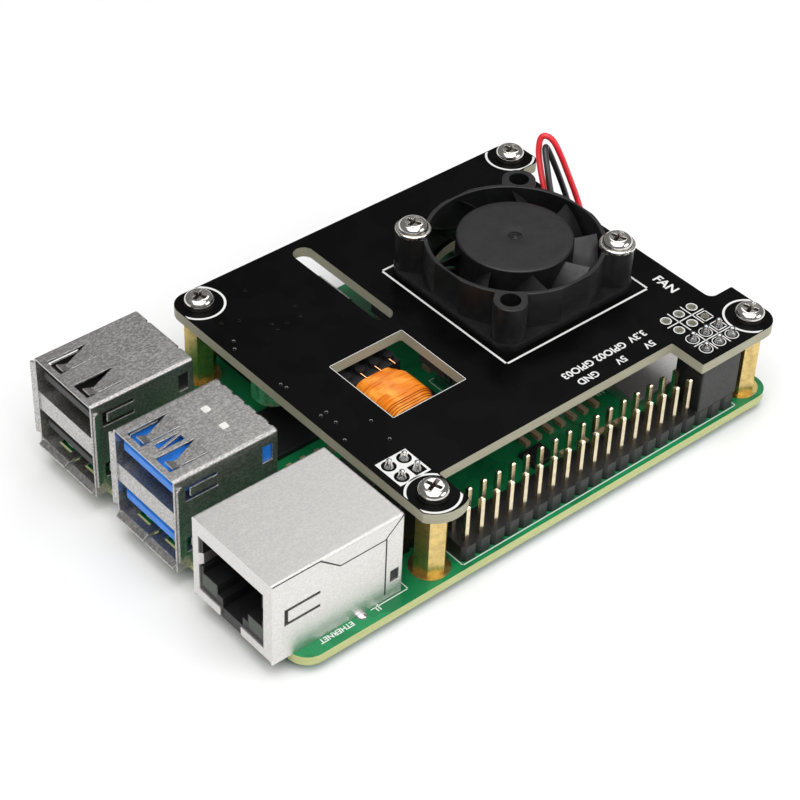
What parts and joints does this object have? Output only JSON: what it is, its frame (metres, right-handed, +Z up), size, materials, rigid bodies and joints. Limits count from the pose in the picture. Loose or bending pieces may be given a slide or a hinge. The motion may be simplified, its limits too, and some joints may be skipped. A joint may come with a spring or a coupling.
{
  "type": "single board computer",
  "caption": "Credit-card single board computer with a cooling fan and power board stacked above it on brass standoffs, with port stacks on one edge and a pin header.",
  "frame": {"origin": "centre of the four mounting holes at the main board's underside", "axes": "+X along the board towards the USB and Ethernet ports, +Y towards the pin header, +Z up through the fan board"},
  "size_m": [0.0881, 0.0589, 0.0269],
  "materials": {
    "green_board": "green solder mask over glass fibre board",
    "black_board": "black solder mask over glass fibre board",
    "black_plastic": "moulded black plastic",
    "fan_plastic": "moulded black plastic with a fine grain",
    "blue_plastic": "moulded blue plastic",
    "cream_plastic": "moulded cream plastic",
    "shell_steel": "tin plated steel sheet",
    "satin_steel": "satin nickel plated steel sheet",
    "gold": "gold plated brass",
    "brass": "turned brass",
    "nickel": "bright nickel plated steel",
    "chip": "moulded epoxy",
    "substrate": "green laminate",
    "ceramic": "ceramic with tinned ends",
    "ferrite": "sintered ferrite",
    "amber_tape": "amber insulating tape over copper wire",
    "copper": "enamelled copper wire",
    "silicon_steel": "stacked laminations",
    "bronze": "sintered bronze",
    "aluminium_can": "drawn aluminium",
    "light_pipe": "clear tinted plastic",
    "led": "clear resin",
    "red_insulation": "soft red insulation",
    "black_insulation": "soft black insulation",
    "white_plastic": "moulded white plastic"
  },
  "bodies": {
    "board": {"main_board": "green_board", "gpio_header_base": "black_plastic", "power_header_base": "black_plastic", "header_pins": "gold", "stack_socket": "black_plastic", "power_socket": "black_plastic", "socket_contacts": "gold", "usb3_shell": "shell_steel", "usb3_housing": "blue_plastic", "usb3_contacts": "gold", "usb2_shell": "shell_steel", "usb2_housing": "black_plastic", "usb2_contacts": "gold", "ethernet_shell": "satin_steel", "ethernet_housing": "black_plastic", "ethernet_contacts": "gold", "ethernet_light_pipes": "light_pipe", "usb_c_shell": "shell_steel", "usb_c_tongue": "black_plastic", "micro_hdmi_shells": "shell_steel", "micro_hdmi_tongues": "black_plastic", "audio_jack_body": "black_plastic", "audio_jack_contacts": "gold", "camera_connector_base": "cream_plastic", "display_connector_base": "cream_plastic", "processor_substrate": "substrate", "processor_lid": "nickel", "memory_chip": "chip", "wireless_shield": "satin_steel", "controller_chips": "chip", "small_passives": "ceramic", "power_inductors": "ferrite", "crystals": "nickel", "status_leds": "led", "card_slot_base": "black_plastic", "card_slot_shell": "satin_steel", "fan_board": "black_board", "standoffs": "brass", "board_screws": "nickel", "fan_screws": "nickel", "fan_nuts": "nickel", "transformer_core": "ferrite", "transformer_bobbin": "black_plastic", "transformer_winding": "amber_tape", "fan_board_chips": "chip", "fan_board_capacitors": "aluminium_can", "fan_board_inductors": "ferrite", "fan_frame": "fan_plastic", "fan_bearing": "bronze", "fan_stator": "silicon_steel", "fan_coils": "copper", "fan_plug": "white_plastic", "fan_socket": "white_plastic", "red_lead": "red_insulation", "black_lead": "black_insulation"},
    "rotor": {"fan_rotor": "fan_plastic", "fan_shaft": "nickel", "fan_magnet": "ferrite"},
    "camera_latch": {"camera_connector_latch": "black_plastic"},
    "display_latch": {"display_connector_latch": "black_plastic"}
  },
  "joints": [
    {"name": "fan_spin", "type": "hinge", "parent": "board", "child": "rotor", "pos_m": [-0.0089, -0.0022, 0.0174], "axis": [0, 0, 1], "continuous": true},
    {"name": "camera_latch_lift", "type": "slide", "parent": "board", "child": "camera_latch", "axis": [0, 0, 1], "range_m": [0, 0.001]},
    {"name": "display_latch_lift", "type": "slide", "parent": "board", "child": "display_latch", "axis": [0, 0, 1], "range_m": [0, 0.001]}
  ]
}
